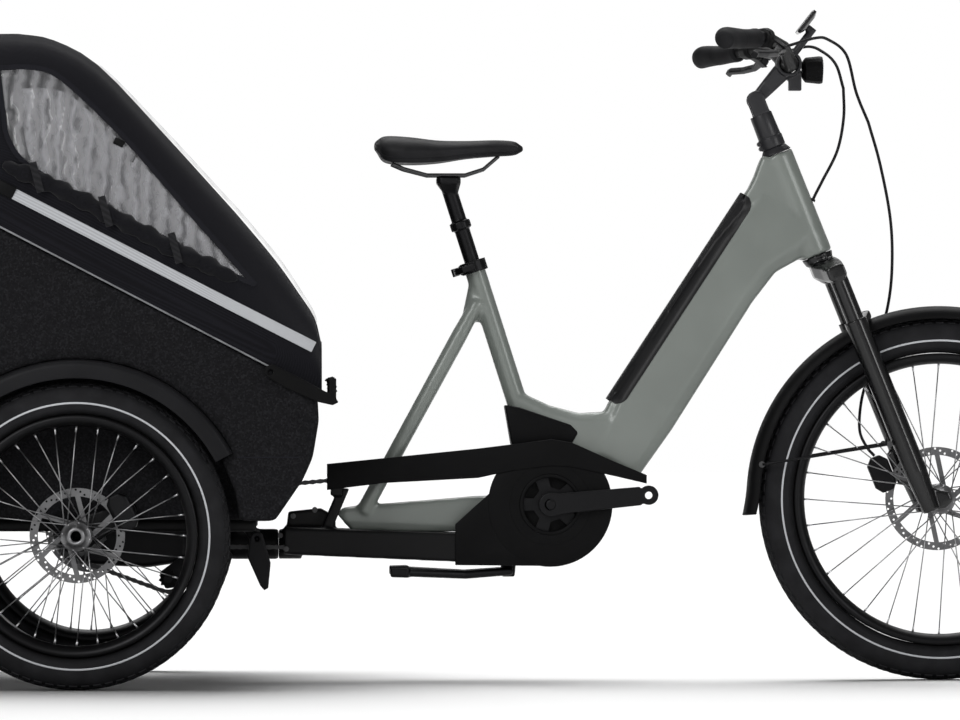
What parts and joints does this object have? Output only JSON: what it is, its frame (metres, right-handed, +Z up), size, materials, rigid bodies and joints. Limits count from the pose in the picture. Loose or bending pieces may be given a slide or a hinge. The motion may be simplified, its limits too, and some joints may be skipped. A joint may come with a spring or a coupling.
{
  "type": "electric cargo tricycle",
  "caption": "Tilting electric cargo tricycle: spoked front wheel on a sprung fork, mid motor, chain to a two-wheeled platform with a moulded box, cushions and a folding hood.",
  "frame": {"origin": "on the floor, midway along the length and on the frame's middle plane", "axes": "+X forwards, +Y to the rider's left, +Z up"},
  "size_m": [2.25, 0.879, 1.162],
  "materials": {
    "frame_paint": "satin light grey-green paint",
    "black_paint": "satin black paint",
    "black_alloy": "black anodised",
    "wheel_alloy": "black rim and hub with bare spokes",
    "black_plastic": "fine grain",
    "glossy_plastic": "smooth",
    "red_lens": "clear red",
    "rubber": "matt",
    "tyre": "matt with a light stripe",
    "steel": "ground",
    "dark_steel": "dark, oiled",
    "foam": "grained foam",
    "fabric": "woven"
  },
  "bodies": {
    "rear_platform": {"rear_frame": "black_paint", "axle_housing": "black_alloy", "tensioner_arm": "dark_steel", "rear_chain": "dark_steel", "cargo_box": "foam", "wheel_arch_right": "black_plastic", "wheel_arch_left": "black_plastic", "seat_cushion": "fabric", "back_cushion": "fabric", "rear_light": "red_lens", "rear_caliper_right": "black_alloy", "rear_caliper_left": "black_alloy"},
    "hood": {"hood_shell": "fabric", "hood_bow": "black_alloy"},
    "rear_sprocket": {"rear_sprocket": "dark_steel"},
    "jockey_wheel": {"jockey_wheel": "black_plastic"},
    "tilt_lock_pedal": {"tilt_lock_pedal": "dark_steel"},
    "latch_lever_right": {"latch_lever_right": "black_plastic"},
    "latch_lever_left": {"latch_lever_left": "black_plastic"},
    "rear_wheel_right": {"rear_tyre_right": "tyre", "rear_spoked_wheel_right": "wheel_alloy", "rear_brake_disc_right": "steel"},
    "rear_wheel_left": {"rear_tyre_left": "tyre", "rear_spoked_wheel_left": "wheel_alloy", "rear_brake_disc_left": "steel"},
    "front_frame": {"main_frame": "frame_paint", "battery_pack": "black_plastic", "battery_cover": "glossy_plastic", "drive_unit": "black_alloy", "motor_cover": "black_plastic", "chain_guard": "black_plastic", "tilt_beam": "black_paint", "seat_clamp": "black_alloy", "front_chain": "dark_steel", "brake_hose_rear": "rubber"},
    "kickstand": {"kickstand": "black_alloy"},
    "seat_clamp_lever": {"seat_clamp_lever": "black_alloy"},
    "seat": {"seat_post": "black_alloy", "saddle": "rubber", "saddle_rails": "steel"},
    "cranks": {"crank_right": "black_alloy", "crank_left": "black_alloy", "chainring": "dark_steel"},
    "steering": {"fork_upper": "black_alloy", "stem_base": "black_alloy", "brake_hose_front": "rubber"},
    "handlebar": {"stem_arm": "black_alloy", "handlebar": "black_alloy", "grip_right": "rubber", "grip_left": "rubber", "display": "glossy_plastic", "headlight": "black_plastic"},
    "brake_lever_right": {"brake_lever_right": "black_alloy"},
    "brake_lever_left": {"brake_lever_left": "black_alloy"},
    "fork_slide": {"fork_lowers": "black_alloy", "front_fender": "black_plastic", "front_caliper": "black_alloy"},
    "front_wheel": {"front_tyre": "tyre", "front_spoked_wheel": "wheel_alloy", "front_brake_disc": "steel"}
  },
  "joints": [
    {"name": "frame_tilt", "type": "hinge", "parent": "rear_platform", "child": "front_frame", "pos_m": [-0.33, 0, 0.236], "axis": [1, 0, 0], "range_deg": [-25, 25]},
    {"name": "steering_turn", "type": "hinge", "parent": "front_frame", "child": "steering", "pos_m": [0.59919, 0, 0.73652], "axis": [-0.3714, 0, 0.9285], "range_deg": [-60, 60], "deforming": ["brake_hose_rear"]},
    {"name": "stem_angle", "type": "hinge", "parent": "steering", "child": "handlebar", "pos_m": [0.493, 0, 1.006], "axis": [0, -1, 0], "range_deg": [-20, 40], "deforming": ["brake_hose_front", "brake_hose_rear"]},
    {"name": "brake_lever_right_pull", "type": "hinge", "parent": "handlebar", "child": "brake_lever_right", "pos_m": [0.52174, -0.22325, 1.08348], "axis": [-0.4586, 0.3072, -0.8339], "range_deg": [0, 10], "stiffness_Nm_per_rad": 1.5, "springref_deg": -8.59},
    {"name": "brake_lever_left_pull", "type": "hinge", "parent": "handlebar", "child": "brake_lever_left", "pos_m": [0.52174, 0.22325, 1.08348], "axis": [0.4586, 0.3072, 0.8339], "range_deg": [0, 10], "stiffness_Nm_per_rad": 1.5, "springref_deg": -8.59},
    {"name": "fork_travel", "type": "slide", "parent": "steering", "child": "fork_slide", "axis": [-0.3714, 0, 0.9285], "range_m": [0, 0.06], "stiffness_N_per_m": 7000, "springref_m": -0.05, "deforming": ["brake_hose_front"]},
    {"name": "front_wheel_spin", "type": "hinge", "parent": "fork_slide", "child": "front_wheel", "pos_m": [0.8115, 0, 0.3135], "axis": [0, 1, 0], "continuous": true},
    {"name": "rear_wheel_right_spin", "type": "hinge", "parent": "rear_platform", "child": "rear_wheel_right", "pos_m": [-0.6715, -0.4, 0.258], "axis": [0, 1, 0], "continuous": true},
    {"name": "rear_wheel_left_spin", "type": "hinge", "parent": "rear_platform", "child": "rear_wheel_left", "pos_m": [-0.6715, 0.4, 0.258], "axis": [0, 1, 0], "continuous": true},
    {"name": "crank_spin", "type": "hinge", "parent": "front_frame", "child": "cranks", "pos_m": [0.134, 0, 0.305], "axis": [0, 1, 0], "continuous": true},
    {"name": "sprocket_spin", "type": "hinge", "parent": "rear_platform", "child": "rear_sprocket", "pos_m": [-0.6715, 0, 0.258], "axis": [0, 1, 0], "continuous": true},
    {"name": "jockey_spin", "type": "hinge", "parent": "rear_platform", "child": "jockey_wheel", "pos_m": [-0.525, 0, 0.177], "axis": [0, 1, 0], "continuous": true},
    {"name": "kickstand_swing", "type": "hinge", "parent": "front_frame", "child": "kickstand", "pos_m": [0.063, 0, 0.1885], "axis": [0, -1, 0], "range_deg": [0, 60]},
    {"name": "seat_post_slide", "type": "slide", "parent": "front_frame", "child": "seat", "axis": [-0.304, 0, 0.9527], "range_m": [-0.055, 0.06]},
    {"name": "seat_clamp_lever_swing", "type": "hinge", "parent": "front_frame", "child": "seat_clamp_lever", "pos_m": [-0.02829, 0, 0.70625], "axis": [0.304, 0, -0.9527], "range_deg": [0, 100]},
    {"name": "hood_open", "type": "hinge", "parent": "rear_platform", "child": "hood", "pos_m": [-1.113, 0, 0.881], "axis": [0, -1, 0], "range_deg": [0, 70]},
    {"name": "latch_lever_right_swing", "type": "hinge", "parent": "rear_platform", "child": "latch_lever_right", "pos_m": [-0.347, -0.429, 0.5325], "axis": [0, -1, 0], "range_deg": [0, 60]},
    {"name": "latch_lever_left_swing", "type": "hinge", "parent": "rear_platform", "child": "latch_lever_left", "pos_m": [-0.347, 0.429, 0.5325], "axis": [0, -1, 0], "range_deg": [0, 60]},
    {"name": "tilt_lock_swing", "type": "hinge", "parent": "rear_platform", "child": "tilt_lock_pedal", "pos_m": [-0.372, -0.081, 0.247], "axis": [0, -1, 0], "range_deg": [0, 25], "stiffness_Nm_per_rad": 0.6, "springref_deg": -11.46}
  ],
  "couplings": [
    {"joint": "sprocket_spin", "follows": "crank_spin", "ratio": 1.5833},
    {"joint": "jockey_spin", "follows": "crank_spin", "ratio": 3.4545}
  ]
}
